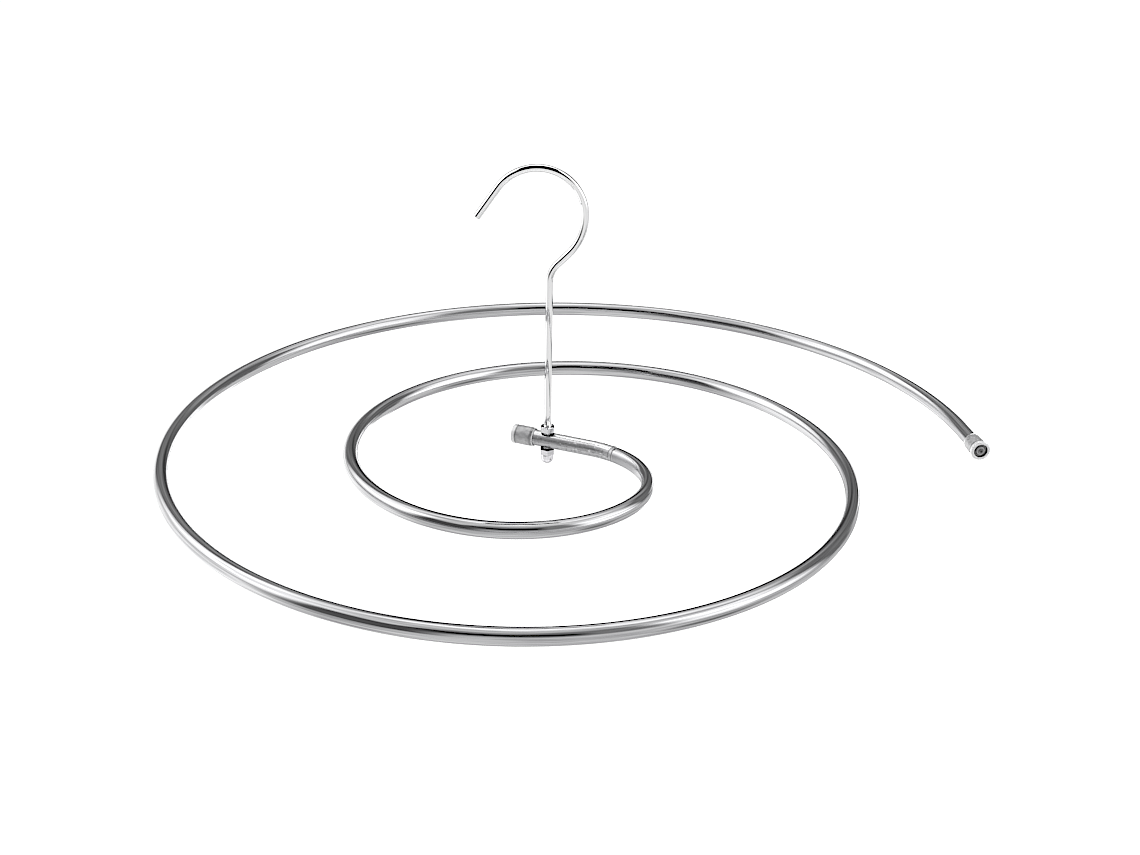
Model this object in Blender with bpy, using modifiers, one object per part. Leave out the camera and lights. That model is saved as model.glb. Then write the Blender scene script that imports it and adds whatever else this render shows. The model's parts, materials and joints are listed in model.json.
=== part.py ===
"""Spiral sheet hanger: a flat spiral of bent steel tube that swivels under a wire hook.

The model is in metres with +Z up. Its origin is the underside of the hook's crown, where
the hanger hangs on a rail. The hook lies in the XZ plane and the spiral is level.
"""

import math

import bmesh
import bpy
from mathutils import Matrix, Vector

MM = 0.001

# Clearances
FIT_GAP = 0.3 * MM
CUT_OVERRUN = 1.0 * MM
MERGE_DISTANCE = 0.001 * MM

# Hook wire
WIRE_DIAMETER = 4.2 * MM
STEM_HEIGHT = 99.0 * MM
NECK_RADIUS = 15.0 * MM
NECK_ANGLE = math.radians(45.5)
NECK_STRAIGHT = 8.0 * MM
BOW_RADIUS = 32.0 * MM
CROWN_RADIUS = 27.0 * MM
CROWN_ANGLE = math.radians(145.0)
TIP_LENGTH = 21.0 * MM

# Thread on the wire's lower end, and its two nuts
THREAD_DIAMETER = 4.8 * MM
THREAD_SHOWING = 1.2 * MM
THREAD_RUNOUT = 0.5 * MM
NUT_WIDTH = 8.0 * MM
NUT_HEIGHT = 4.0 * MM
NUT_CHAMFER = 0.2 * MM
CAP_NUT_HEIGHT = 10.0 * MM
CAP_NUT_CROWN = 2.5 * MM
DOME_INSET = 0.25 * MM

# Tube: the hub tube and the spiral share one stock
TUBE_DIAMETER = 9.5 * MM
TUBE_WALL = 0.6 * MM
HUB_HEADING = math.radians(-22.9)
HUB_STRAIGHT = 27.8 * MM
SPIRAL_RADIUS = 242.0 * MM
SPIRAL_RADIUS_SHARES = (0.235, 0.175, 0.303, 0.570, 0.744, 0.983, 1.0)
SPIRAL_BENDS = tuple(math.radians(turn) for turn in (82.2, 30.0, 200.6, 155.6, 155.6, 155.6))
SPIRAL_END_RUN = 27.0 * MM

# Joint plug in the seam between the hub tube and the spiral
SEAM_PLACE = 44.0 * MM
COLLAR_WIDTH = 2.0 * MM
SPIGOT_LENGTH = 4.0 * MM
NOSE_LENGTH = 2.4 * MM
PLUG_GAP = 0.5 * MM
PLUG_CHAMFER = 0.5 * MM

# End caps
CAP_LENGTH = 14.0 * MM
CAP_WALL = 0.8 * MM
CAP_WEB = 1.2 * MM
CAP_LIP_WALL = 0.35 * MM
CAP_FLARE_LENGTH = 2.0 * MM
CAP_FILLET = 0.8 * MM
CAP_RIM_WIDTH = 0.85 * MM
CAP_RECESS_WIDTH = 1.6 * MM
CAP_RECESS_DEPTH = 2.0 * MM
CAP_TO_NUT = 3.4 * MM
CAP_BOSS_DROP = 0.3 * MM
CAP_DIMPLE_DIAMETER = 2.0 * MM
CAP_DIMPLE_DEPTH = 0.8 * MM

# Fineness of the meshes
TUBE_SIDES = 14
WIRE_SIDES = 12
TURNED_STEPS = 24
BEND_STEP = math.radians(5.0)
WIRE_STEP = math.radians(10.0)
FILLET_STEPS = 3
DOME_STEPS = 6

# Values that follow from the ones above
TUBE_RADIUS = TUBE_DIAMETER / 2
WIRE_RADIUS = WIRE_DIAMETER / 2
THREAD_RADIUS = THREAD_DIAMETER / 2
NUT_BORE_RADIUS = THREAD_RADIUS + FIT_GAP
NUT_SEAT = TUBE_RADIUS + FIT_GAP
NUT_TOP = NUT_SEAT + NUT_HEIGHT
CORNER_SHARE = 2 / math.sqrt(3)
NUT_CORNER = NUT_WIDTH / 2 * CORNER_SHARE
DOME_RADIUS = NUT_WIDTH / 2 - DOME_INSET
CAP_NUT_BORE_DEPTH = CAP_NUT_HEIGHT - CAP_NUT_CROWN
THREAD_TOP = NUT_TOP + THREAD_SHOWING
THREAD_END = NUT_SEAT + CAP_NUT_BORE_DEPTH - FIT_GAP
CAP_FLOOR = CAP_RECESS_DEPTH + CAP_WEB
CAP_GRIP = CAP_LENGTH - CAP_FLOOR - FIT_GAP
HUB_FREE_RUN = NUT_CORNER + CAP_TO_NUT + CAP_GRIP
SEAM_RUN = HUB_FREE_RUN + SEAM_PLACE
SEAM_HALF = COLLAR_WIDTH / 2 + FIT_GAP
PROUD_SHARE = 1.2

# Looks of each material: colour, metallic, roughness
STEEL_BRIGHT = ((0.80, 0.80, 0.81, 1.0), 1.0, 0.12)
STEEL_PLATED = ((0.76, 0.76, 0.78, 1.0), 1.0, 0.20)
STEEL_DRAWN = ((0.68, 0.68, 0.70, 1.0), 1.0, 0.24)
STEEL_DULL = ((0.60, 0.60, 0.61, 1.0), 1.0, 0.40)
STEEL_DARK = ((0.42, 0.42, 0.43, 1.0), 1.0, 0.45)
PLASTIC_GREY = ((0.50, 0.51, 0.51, 1.0), 0.0, 0.42)


class Route:
    """A flat line of straight runs and bends, as a tube bender makes it."""

    def __init__(self, heading, run_before=0.0):
        """The line starts the given run before the origin, and heads for it."""
        self.heading = heading
        self.points = [Vector((math.cos(heading), math.sin(heading))) * -run_before]

    def step(self, length, heading):
        way = Vector((math.cos(heading), math.sin(heading)))
        self.points.append(self.points[-1] + way * length)

    def straight(self, length):
        self.step(length, self.heading)

    def bend(self, first_radius, last_radius, angle, finest):
        """Bend by an angle, left when it is positive, as the radius changes evenly."""
        steps = max(1, round(abs(angle) / finest))
        turn = angle / steps
        for number in range(steps):
            share = (number + 0.5) / steps
            radius = first_radius + (last_radius - first_radius) * share
            chord = 2 * radius * math.sin(abs(turn) / 2)
            self.step(chord, self.heading + turn / 2)
            self.heading += turn

    def length(self):
        return sum((end - start).length for start, end in zip(self.points, self.points[1:]))

    def at(self, distance):
        """The point at a distance along the line, and the heading there; past its end, the end."""
        for start, end in zip(self.points, self.points[1:]):
            run = end - start
            if distance <= run.length:
                break
            distance -= run.length
        else:
            distance = run.length
        return start + run.normalized() * distance, math.atan2(run.y, run.x)

    def stretch(self, first, last):
        """The points of the line from one distance along it to another."""
        places = [self.at(first)[0]]
        passed = 0.0
        for start, end in zip(self.points, self.points[1:]):
            passed += (end - start).length
            if first + FIT_GAP < passed < last - FIT_GAP:
                places.append(end)
        return places + [self.at(last)[0]]

    def straighten(self, place, reach):
        """Make the line straight for a reach each way from a place, and ease it in and out."""
        middle, heading = self.at(place)
        run = Vector((math.cos(heading), math.sin(heading))) * reach
        before = self.stretch(0.0, place - reach - TUBE_RADIUS)[:-1]
        after = self.stretch(place + reach + TUBE_RADIUS, self.length())[1:]
        self.points = before + [middle - run, middle + run] + after


def clear_scene():
    for thing in list(bpy.data.objects):
        bpy.data.objects.remove(thing, do_unlink=True)


def new_collection(name):
    collection = bpy.data.collections.new(name)
    bpy.context.scene.collection.children.link(collection)
    return collection


def new_material(name, looks):
    colour, metallic, roughness = looks
    material = bpy.data.materials.new(name)
    material.use_nodes = True
    shader = material.node_tree.nodes["Principled BSDF"]
    shader.inputs["Base Color"].default_value = colour
    shader.inputs["Metallic"].default_value = metallic
    shader.inputs["Roughness"].default_value = roughness
    material.diffuse_color = colour
    return material


def add_part(name, data, looks, place, parent=None):
    part = bpy.data.objects.new(name, data)
    PARTS.objects.link(part)
    part.parent = parent
    part.matrix_local = place
    data.materials.append(new_material(name, looks))
    return part


def add_cutter(name, mesh, place, parent=None):
    cutter = bpy.data.objects.new(name, mesh)
    CUTTERS.objects.link(cutter)
    cutter.parent = parent
    cutter.matrix_local = place
    cutter.hide_render = True
    cutter.display_type = "WIRE"
    return cutter


def add_boolean(part, cutter, operation):
    boolean = part.modifiers.new(cutter.name, "BOOLEAN")
    boolean.operation = operation
    boolean.object = cutter


def add_screw(part, steps):
    screw = part.modifiers.new("turned", "SCREW")
    screw.axis = "Z"
    screw.steps = steps
    screw.render_steps = steps
    screw.use_merge_vertices = True
    screw.merge_threshold = MERGE_DISTANCE


def polyline_curve(name, points, depth, sides, radius_shares, capped):
    """A curve object's data: a round bar or tube along the points."""
    curve = bpy.data.curves.new(name, "CURVE")
    curve.dimensions = "3D"
    curve.bevel_depth = depth
    curve.bevel_resolution = (sides - 4) // 2
    curve.use_fill_caps = capped
    spline = curve.splines.new("POLY")
    spline.points.add(len(points[1:]))
    for target, point, share in zip(spline.points, points, radius_shares):
        target.co = (*point, 1.0)
        target.radius = share
    return curve


def tube_skin(name, points):
    """The open outer surface of a level tube along the points, as a mesh."""
    places = [point.to_3d() for point in points]
    curve = polyline_curve(name, places, TUBE_RADIUS, TUBE_SIDES, [1.0] * len(places), False)
    guide = bpy.data.objects.new(name, curve)
    PARTS.objects.link(guide)
    bpy.context.view_layer.update()
    depsgraph = bpy.context.evaluated_depsgraph_get()
    mesh = bpy.data.meshes.new_from_object(guide.evaluated_get(depsgraph))
    bpy.data.objects.remove(guide)
    bpy.data.curves.remove(curve)
    skin = bmesh.new()
    skin.from_mesh(mesh)
    bmesh.ops.recalc_face_normals(skin, faces=skin.faces)
    skin.to_mesh(mesh)
    skin.free()
    mesh.materials.clear()
    mesh.name = name
    mesh.shade_smooth()
    return mesh


def add_tube_wall(part):
    wall = part.modifiers.new("wall", "SOLIDIFY")
    wall.thickness = TUBE_WALL
    wall.offset = -1.0
    wall.use_even_offset = True


def profile_mesh(name, outline):
    """A profile of radius and height pairs, in the XZ plane, from its top down."""
    mesh = bpy.data.meshes.new(name)
    corners = [(radius, 0.0, height) for radius, height in outline]
    edges = [(number, number + 1) for number in range(len(corners) - 1)]
    mesh.from_pydata(corners, edges, [])
    return mesh


def cylinder_mesh(name, radius, depth, sides):
    cylinder = bmesh.new()
    bmesh.ops.create_cone(
        cylinder, cap_ends=True, segments=sides, radius1=radius, radius2=radius, depth=depth
    )
    mesh = bpy.data.meshes.new(name)
    cylinder.to_mesh(mesh)
    cylinder.free()
    return mesh


def around(radius, sides):
    """The corner radius of a polygon whose flats lie at the given radius."""
    return radius / math.cos(math.pi / sides)


def arc(centre, radius, first, last, steps):
    """Points of an arc in a profile, from its first angle to its last."""
    angles = [first + (last - first) * number / steps for number in range(steps + 1)]
    return [(centre[0] + radius * math.cos(a), centre[1] + radius * math.sin(a)) for a in angles]


def at_height(height):
    return Matrix.Translation((0.0, 0.0, height))


def hook_route():
    route = Route(math.radians(90.0))
    route.straight(STEM_HEIGHT)
    route.bend(NECK_RADIUS, NECK_RADIUS, -NECK_ANGLE, WIRE_STEP)
    route.straight(NECK_STRAIGHT)
    route.bend(BOW_RADIUS, BOW_RADIUS, NECK_ANGLE, WIRE_STEP)
    crown_start = route.points[-1]
    route.bend(CROWN_RADIUS, CROWN_RADIUS, CROWN_ANGLE, WIRE_STEP)
    route.straight(TIP_LENGTH)
    crown_centre = crown_start - Vector((CROWN_RADIUS, 0.0))
    return route.points, crown_centre


def tube_route():
    """The tube's axis from its free end, through the hub at the origin and round the spiral."""
    route = Route(HUB_HEADING, HUB_FREE_RUN)
    route.straight(HUB_FREE_RUN + HUB_STRAIGHT)
    radii = [SPIRAL_RADIUS * share for share in SPIRAL_RADIUS_SHARES]
    for first_radius, last_radius, turn in zip(radii, radii[1:], SPIRAL_BENDS):
        route.bend(first_radius, last_radius, -turn, BEND_STEP)
    route.straight(SPIRAL_END_RUN)
    route.straighten(SEAM_RUN, SEAM_HALF + SPIGOT_LENGTH)
    return route


def along(place, heading):
    """A frame at a place in the tube's plane, with its Z along the heading."""
    way = Vector((math.cos(heading), math.sin(heading), 0.0))
    turn = way.to_track_quat("Z", "Y").to_matrix().to_4x4()
    return Matrix.Translation(place.to_3d()) @ turn


def make_hook_wire(points, hub):
    thread_share = THREAD_RADIUS / WIRE_RADIUS
    stem = [(-THREAD_END, thread_share), (THREAD_TOP, thread_share)]
    stem.append((THREAD_TOP + THREAD_RUNOUT, 1.0))
    places = [Vector((0.0, 0.0, height)) for height, share in stem]
    places += [Vector((point.x, 0.0, point.y)) for point in points[1:]]
    shares = [share for height, share in stem]
    shares += [1.0] * (len(places) - len(shares))
    curve = polyline_curve("hook_wire", places, WIRE_RADIUS, WIRE_SIDES, shares, True)
    add_part("hook_wire", curve, STEEL_BRIGHT, Matrix.Translation(hub))


def nut_outline(height, dome_height):
    """A nut's turned outline: the chamfered hexagon's rounding, and a dome where it has one."""
    face_radius = NUT_WIDTH / 2 - NUT_CHAMFER
    outer = NUT_CORNER * PROUD_SHARE
    drop = (outer - face_radius) * math.tan(math.radians(30.0))
    outline = [(0.0, height), (face_radius, height), (outer, height - drop)]
    outline += [(outer, drop), (face_radius, 0.0)]
    if dome_height:
        shoulder = DOME_RADIUS - dome_height
        dome = arc((0.0, shoulder), DOME_RADIUS, 0.0, -math.pi / 2, DOME_STEPS)
        outline += [(DOME_RADIUS, 0.0)] + dome[:-1] + [(0.0, -dome_height)]
    else:
        outline.append((0.0, 0.0))
    return outline


def make_nut(name, hex_foot, full_foot, looks, bore, hub):
    """A hexagon nut with its hexagon from hex_foot up, and a dome down to full_foot."""
    length = hex_foot + NUT_HEIGHT - full_foot
    middle = full_foot + length / 2
    mesh = cylinder_mesh(name, NUT_CORNER, length, 6)
    nut = add_part(name, mesh, looks, Matrix.Translation(hub) @ at_height(middle))
    rounding = profile_mesh(name + "_rounding", nut_outline(NUT_HEIGHT, hex_foot - full_foot))
    foot = Matrix.Translation(hub) @ at_height(hex_foot)
    shape = add_cutter(name + "_rounding", rounding, foot)
    add_screw(shape, TURNED_STEPS)
    add_boolean(nut, shape, "INTERSECT")
    bore_foot, bore_top = bore
    bore_radius = around(NUT_BORE_RADIUS, TURNED_STEPS)
    hole = cylinder_mesh(name + "_bore", bore_radius, bore_top - bore_foot, TURNED_STEPS)
    bore_middle = Matrix.Translation(hub) @ at_height((bore_foot + bore_top) / 2)
    add_boolean(nut, add_cutter(name + "_bore", hole, bore_middle), "DIFFERENCE")


def make_upper_nut(hub):
    bore = (NUT_SEAT - CUT_OVERRUN, NUT_TOP + CUT_OVERRUN)
    make_nut("upper_nut", NUT_SEAT, NUT_SEAT, STEEL_PLATED, bore, hub)


def make_cap_nut(hub):
    hex_foot = -NUT_SEAT - NUT_HEIGHT
    bore = (-NUT_SEAT - CAP_NUT_BORE_DEPTH, -NUT_SEAT + CUT_OVERRUN)
    make_nut("cap_nut", hex_foot, -NUT_SEAT - CAP_NUT_HEIGHT, STEEL_PLATED, bore, hub)


def make_hub_tube(route, swivel):
    """The first length of tube, through the hub, bored across for the thread."""
    skin = tube_skin("hub_tube", route.stretch(0.0, SEAM_RUN - SEAM_HALF))
    tube = add_part("hub_tube", skin, STEEL_DULL, Matrix(), swivel)
    add_tube_wall(tube)
    bore_radius = around(NUT_BORE_RADIUS, TURNED_STEPS)
    hole = cylinder_mesh("hub_bore", bore_radius, TUBE_DIAMETER + CUT_OVERRUN, TURNED_STEPS)
    add_boolean(tube, add_cutter("hub_bore", hole, Matrix(), swivel), "DIFFERENCE")


def make_joint_plug(route, swivel):
    """The turned plug: a spigot in the hub tube, a collar, and a nose in the spiral."""
    flats = (TUBE_RADIUS - TUBE_WALL) * math.cos(math.pi / TUBE_SIDES)
    body = flats - PLUG_GAP
    half = COLLAR_WIDTH / 2
    nose = half + NOSE_LENGTH
    spigot = half + SPIGOT_LENGTH
    outline = [(0.0, nose), (body - PLUG_CHAMFER, nose), (body, nose - PLUG_CHAMFER)]
    outline += [(body, half), (TUBE_RADIUS, half), (TUBE_RADIUS, -half), (body, -half)]
    outline += [(body, PLUG_CHAMFER - spigot), (body - PLUG_CHAMFER, -spigot), (0.0, -spigot)]
    mesh = profile_mesh("joint_plug", outline)
    plug = add_part("joint_plug", mesh, STEEL_DARK, along(*route.at(SEAM_RUN)), swivel)
    add_screw(plug, TURNED_STEPS)


def make_spiral_tube(route, swivel):
    skin = tube_skin("spiral_tube", route.stretch(SEAM_RUN + SEAM_HALF, route.length()))
    tube = add_part("spiral_tube", skin, STEEL_DRAWN, Matrix(), swivel)
    add_tube_wall(tube)


def end_cap_outline():
    """A cap's section, its closed end at the top and its mouth at the bottom."""
    outer = TUBE_RADIUS + FIT_GAP + CAP_WALL
    bore = around(TUBE_RADIUS + FIT_GAP, TURNED_STEPS)
    lip = bore + CAP_LIP_WALL
    recess = outer - CAP_FILLET - CAP_RIM_WIDTH
    boss = recess - CAP_RECESS_WIDTH
    dimple = CAP_DIMPLE_DIAMETER / 2
    fillet_centre = (outer - CAP_FILLET, -CAP_FILLET)
    outline = [(0.0, -CAP_BOSS_DROP - CAP_DIMPLE_DEPTH), (dimple, -CAP_BOSS_DROP)]
    outline += [(boss, -CAP_BOSS_DROP), (boss, -CAP_RECESS_DEPTH)]
    outline += [(recess, -CAP_RECESS_DEPTH), (recess, 0.0)]
    outline += arc(fillet_centre, CAP_FILLET, math.pi / 2, 0.0, FILLET_STEPS)
    outline += [(outer, CAP_FLARE_LENGTH - CAP_LENGTH), (lip, -CAP_LENGTH), (bore, -CAP_LENGTH)]
    outline += [(bore, -CAP_FLOOR), (0.0, -CAP_FLOOR)]
    return outline


def make_end_cap(name, tube_end, heading, swivel):
    """A cap pushed over a tube's end, its own end face out along the heading."""
    face = along(tube_end, heading) @ at_height(CAP_FLOOR + FIT_GAP)
    cap = add_part(name, profile_mesh(name, end_cap_outline()), PLASTIC_GREY, face, swivel)
    add_screw(cap, TURNED_STEPS)


def report_turn_gap(points):
    """Print the least gap between one turn of the spiral and the next."""
    half_turn = round(math.pi / BEND_STEP)
    least = min(
        (one - other).length
        for number, one in enumerate(points)
        for other in points[number + half_turn:]
    )
    print(f"least gap between turns: {(least - TUBE_DIAMETER) / MM:.1f} mm")


def build():
    hook_points, crown_centre = hook_route()
    crown_seat = crown_centre.y + CROWN_RADIUS - WIRE_RADIUS
    hub = Vector((-crown_centre.x, 0.0, -crown_seat))
    make_hook_wire(hook_points, hub)
    make_upper_nut(hub)
    make_cap_nut(hub)
    swivel = bpy.data.objects.new("swivel_axis", None)
    PARTS.objects.link(swivel)
    swivel.matrix_local = Matrix.Translation(hub)
    route = tube_route()
    make_hub_tube(route, swivel)
    make_joint_plug(route, swivel)
    make_spiral_tube(route, swivel)
    make_end_cap("inner_end_cap", route.points[0], HUB_HEADING + math.pi, swivel)
    make_end_cap("outer_end_cap", route.points[-1], route.heading, swivel)
    report_turn_gap(route.points)


clear_scene()
PARTS = new_collection("spiral_sheet_hanger")
CUTTERS = new_collection("cutters")
build()
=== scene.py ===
"""Looks of the spiral sheet hanger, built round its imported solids, in metres."""

import json
import math

import bpy
from mathutils import Matrix, Vector


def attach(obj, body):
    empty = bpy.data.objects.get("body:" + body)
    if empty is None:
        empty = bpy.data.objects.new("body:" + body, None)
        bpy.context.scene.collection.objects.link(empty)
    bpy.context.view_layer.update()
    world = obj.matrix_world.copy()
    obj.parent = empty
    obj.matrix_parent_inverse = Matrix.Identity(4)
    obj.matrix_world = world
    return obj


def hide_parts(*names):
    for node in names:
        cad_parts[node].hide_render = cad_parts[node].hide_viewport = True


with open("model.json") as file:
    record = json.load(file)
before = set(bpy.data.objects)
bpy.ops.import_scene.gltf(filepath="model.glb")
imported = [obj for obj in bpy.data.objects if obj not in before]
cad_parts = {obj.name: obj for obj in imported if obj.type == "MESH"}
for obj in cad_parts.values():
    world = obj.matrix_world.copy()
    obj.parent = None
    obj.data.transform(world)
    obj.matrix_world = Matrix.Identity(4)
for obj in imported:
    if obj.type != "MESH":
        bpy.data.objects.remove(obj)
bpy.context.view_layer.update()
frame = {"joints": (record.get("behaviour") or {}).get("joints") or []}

MM = 0.001
UP = Vector((0.0, 0.0, 1.0))

# Places from the frame: the hub is where the swivel's axis crosses the tube's axis
HUB = Vector(frame["joints"][0]["pos_m"])

# Hook wire
WIRE_RADIUS = 2.1 * MM
STEM_HEIGHT = 99.0 * MM
NECK_RADIUS = 15.0 * MM
NECK_ANGLE = math.radians(45.5)
NECK_STRAIGHT = 8.0 * MM
BOW_RADIUS = 32.0 * MM
CROWN_RADIUS = 27.0 * MM
CROWN_ANGLE = math.radians(145.0)
TIP_LENGTH = 21.0 * MM
TIP_CHAMFER = 0.25 * MM
WIRE_WAVES = 0.008 * MM

# Thread on the wire's lower end
THREAD_RADIUS = 2.4 * MM
THREAD_PITCH = 0.8 * MM
THREAD_DEPTH = 0.42 * MM
THREAD_SHOWING = 1.2 * MM
THREAD_RUNOUT = 0.5 * MM

# Nuts
FIT_GAP = 0.3 * MM
NUT_HALF_WIDTH = 4.0 * MM
NUT_HEIGHT = 4.0 * MM
NUT_FACE_RADIUS = 3.75 * MM
NUT_CORNER_ROUND = 0.3 * MM
NUT_EDGE = 0.08 * MM
NUT_BORE = 2.46 * MM
NUT_SINK = 0.4 * MM
CAP_NUT_HEIGHT = 10.0 * MM
CAP_NUT_CROWN = 2.5 * MM
DOME_RADIUS = 3.75 * MM
DOME_NECK = 4 * NUT_EDGE
NUT_ANGLE_SHARES = (0.0, 0.25, 0.5, 0.7, 0.8, 0.86, 0.9, 0.94, 0.97)

# Tube
TUBE_RADIUS = 4.75 * MM
TUBE_WALL = 0.6 * MM
TUBE_EDGE = 0.12 * MM
TUBE_WAVES = 0.035 * MM
THREAD_HOLE_LENGTH = 4 * TUBE_RADIUS
HUB_HEADING = math.radians(-22.9)
HUB_STRAIGHT = 27.8 * MM
SEAM_PLACE = 44.0 * MM
SPIRAL_RADIUS = 242.0 * MM
SPIRAL_RADIUS_SHARES = (0.235, 0.175, 0.303, 0.570, 0.744, 0.983, 1.0)
SPIRAL_BENDS = tuple(math.radians(turn) for turn in (82.2, 30.0, 200.6, 155.6, 155.6, 155.6))
SPIRAL_END_RUN = 27.0 * MM

# The tight bend flattens the tube a little: runs from the hub where it grows and where it fades
FLAT_RUNS = (46.0 * MM, 70.0 * MM, 95.0 * MM, 135.0 * MM)
FLAT_SHARE = 0.09

# Joint plug
COLLAR_WIDTH = 2.0 * MM
SPIGOT_LENGTH = 4.0 * MM
NOSE_LENGTH = 2.4 * MM
SPIGOT_RADIUS = 3.54 * MM
COLLAR_EDGE = 0.12 * MM

# End caps
CAP_LENGTH = 14.0 * MM
CAP_RADIUS = 5.85 * MM
CAP_BORE = 5.05 * MM
CAP_LIP = 5.42 * MM
CAP_FLARE_LENGTH = 2.0 * MM
CAP_FILLET = 0.8 * MM
CAP_FLOOR = 3.2 * MM
CAP_RECESS = 4.2 * MM
CAP_RECESS_DEPTH = 2.0 * MM
CAP_BOSS = 2.6 * MM
CAP_BOSS_DROP = 0.3 * MM
CAP_DIMPLE = 1.0 * MM
CAP_DIMPLE_DEPTH = 0.8 * MM
CAP_DIMPLE_SHARE = 0.8
CAP_EDGE = 0.14 * MM
CAP_TO_NUT = 3.4 * MM

# Fineness of the meshes
TUBE_SIDES = 48
WIRE_SIDES = 40
TURNED_SIDES = 64
BEND_STEP = math.radians(1.4)
WIRE_STEP = math.radians(2.0)
THREAD_STEP_SHARE = 0.125
HUB_STEPS = 24
SPIRAL_END_STEPS = 6
STEM_STEPS = 12
NECK_STEPS = 3
TIP_STEPS = 6
DOME_STEPS = 16
FILLET_STEPS = 8

# An edge stays sharp where the surface turns by more than this
TUBE_SHARP = math.radians(40.0)
NUT_SHARP = math.radians(24.0)
PLUG_SHARP = math.radians(30.0)
CAP_SHARP = math.radians(50.0)

# Values that follow
NUT_SEAT = TUBE_RADIUS + FIT_GAP
NUT_TOP = NUT_SEAT + NUT_HEIGHT
THREAD_TOP = NUT_TOP + THREAD_SHOWING
THREAD_END = NUT_SEAT + CAP_NUT_HEIGHT - CAP_NUT_CROWN - FIT_GAP
NUT_CORNER = NUT_HALF_WIDTH / math.cos(math.pi / 6)
HUB_FREE_RUN = NUT_CORNER + CAP_TO_NUT + CAP_LENGTH - CAP_FLOOR - FIT_GAP
SEAM_RUN = HUB_FREE_RUN + SEAM_PLACE
SEAM_HALF = COLLAR_WIDTH / 2 + FIT_GAP

# The photograph's camera, in its 1140 x 855 frame
IMAGE_SIZE = (1140.0, 855.0)
FOCAL_PIXELS = 1500.9
SENSOR_WIDTH = 36.0
CAMERA_ELEVATION = math.radians(23.941)
CAMERA_ROLL = math.radians(-1.121)
HUB_PIXEL = (547.47, 439.55)
HUB_DEPTH = 898.4 * MM
CAMERA_REACH = 100.0
SHARPENING = 0.08

# Stage: pale surroundings that the metal doesn't mirror, and a black card that is only seen in it
FLOOR_DROP = 300.0 * MM
FLOOR_RADIUS = 20.0
FLOOR_SIDES = 96
FLOOR_GLOW = 0.62
FLOOR_GREY = 0.5
BACKDROP_RADIUS = 19.0
BACKDROP_SEGMENTS = 64
BACKDROP_RINGS = 32
BACKDROP_GLOW = 1.15
FLAG_HALF_WIDTH = 60.0 * MM
FLAG_GREY = 0.01
FLAG_OUTLINE = (
    (-86.0 * MM, 2.0 * MM),
    (-82.0 * MM, 30.0 * MM),
    (-64.0 * MM, 64.0 * MM),
    (-36.0 * MM, 88.0 * MM),
    (-4.0 * MM, 97.0 * MM),
)

# Light that the metal mirrors: level under and over the horizon, and the half width of the step
SKY_LEVELS = (0.80, 0.90)
SKY_HORIZON = math.radians(6.0)

# Patches of it, each over the ones before: azimuth, half width, lowest and highest elevation and
# softness in degrees, then brightness
SKY_PATCHES = (
    (-60.0, 36.0, -50.0, -3.0, 10.0, 1.35),  # low light, back left
    (16.0, 26.0, -38.0, 7.0, 4.0, 2.2),  # low light, back
    (7.0, 50.0, 56.0, 100.0, 12.0, 1.6),  # overhead light
    (170.0, 45.0, 15.0, 66.0, 10.0, 0.36),  # grey, front
    (180.0, 70.0, -100.0, -38.0, 8.0, 0.95),  # pale floor, front
    (-172.0, 30.0, 27.0, 48.0, 5.0, 0.03),  # black card, front
    (-133.0, 23.0, -10.0, 42.0, 9.0, 0.12),  # dark card, front left
    (112.0, 16.0, -50.0, -26.0, 9.0, 0.32),  # dark card, low right
    (-76.0, 31.0, 14.0, 56.0, 12.0, 2.1),  # high light, left
    (106.0, 24.0, 0.0, 53.0, 10.0, 1.9),  # high light, right
    (-20.0, 23.0, 4.0, 46.0, 5.0, 0.25),  # dark card, back left
    (33.0, 38.0, 9.0, 45.0, 5.0, 0.23),  # dark card, back right
    (62.0, 10.0, -5.0, 32.0, 5.0, 0.24),  # its right end
    (-16.0, 5.0, 27.0, 44.0, 4.0, 0.50),  # lighter strip in the left one
    (18.0, 9.0, 32.0, 44.0, 4.0, 0.55),  # lighter strip in the right one
    (1.0, 6.0, 33.0, 60.0, 4.0, 0.9),  # gap of light between them
    (1.0, 6.0, 14.0, 26.0, 4.0, 0.07),  # black strip under the gap
)

# Soft boxes, not mirrored: azimuth and elevation in degrees, width and height in metres, and watts
SOFTBOX_DISTANCE = 1.6
SOFTBOXES = {
    "softbox_left": (-88.0, 38.0, 0.75, 0.6, 3.0),
    "softbox_right": (110.0, 38.0, 0.6, 0.6, 2.4),
}


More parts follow.
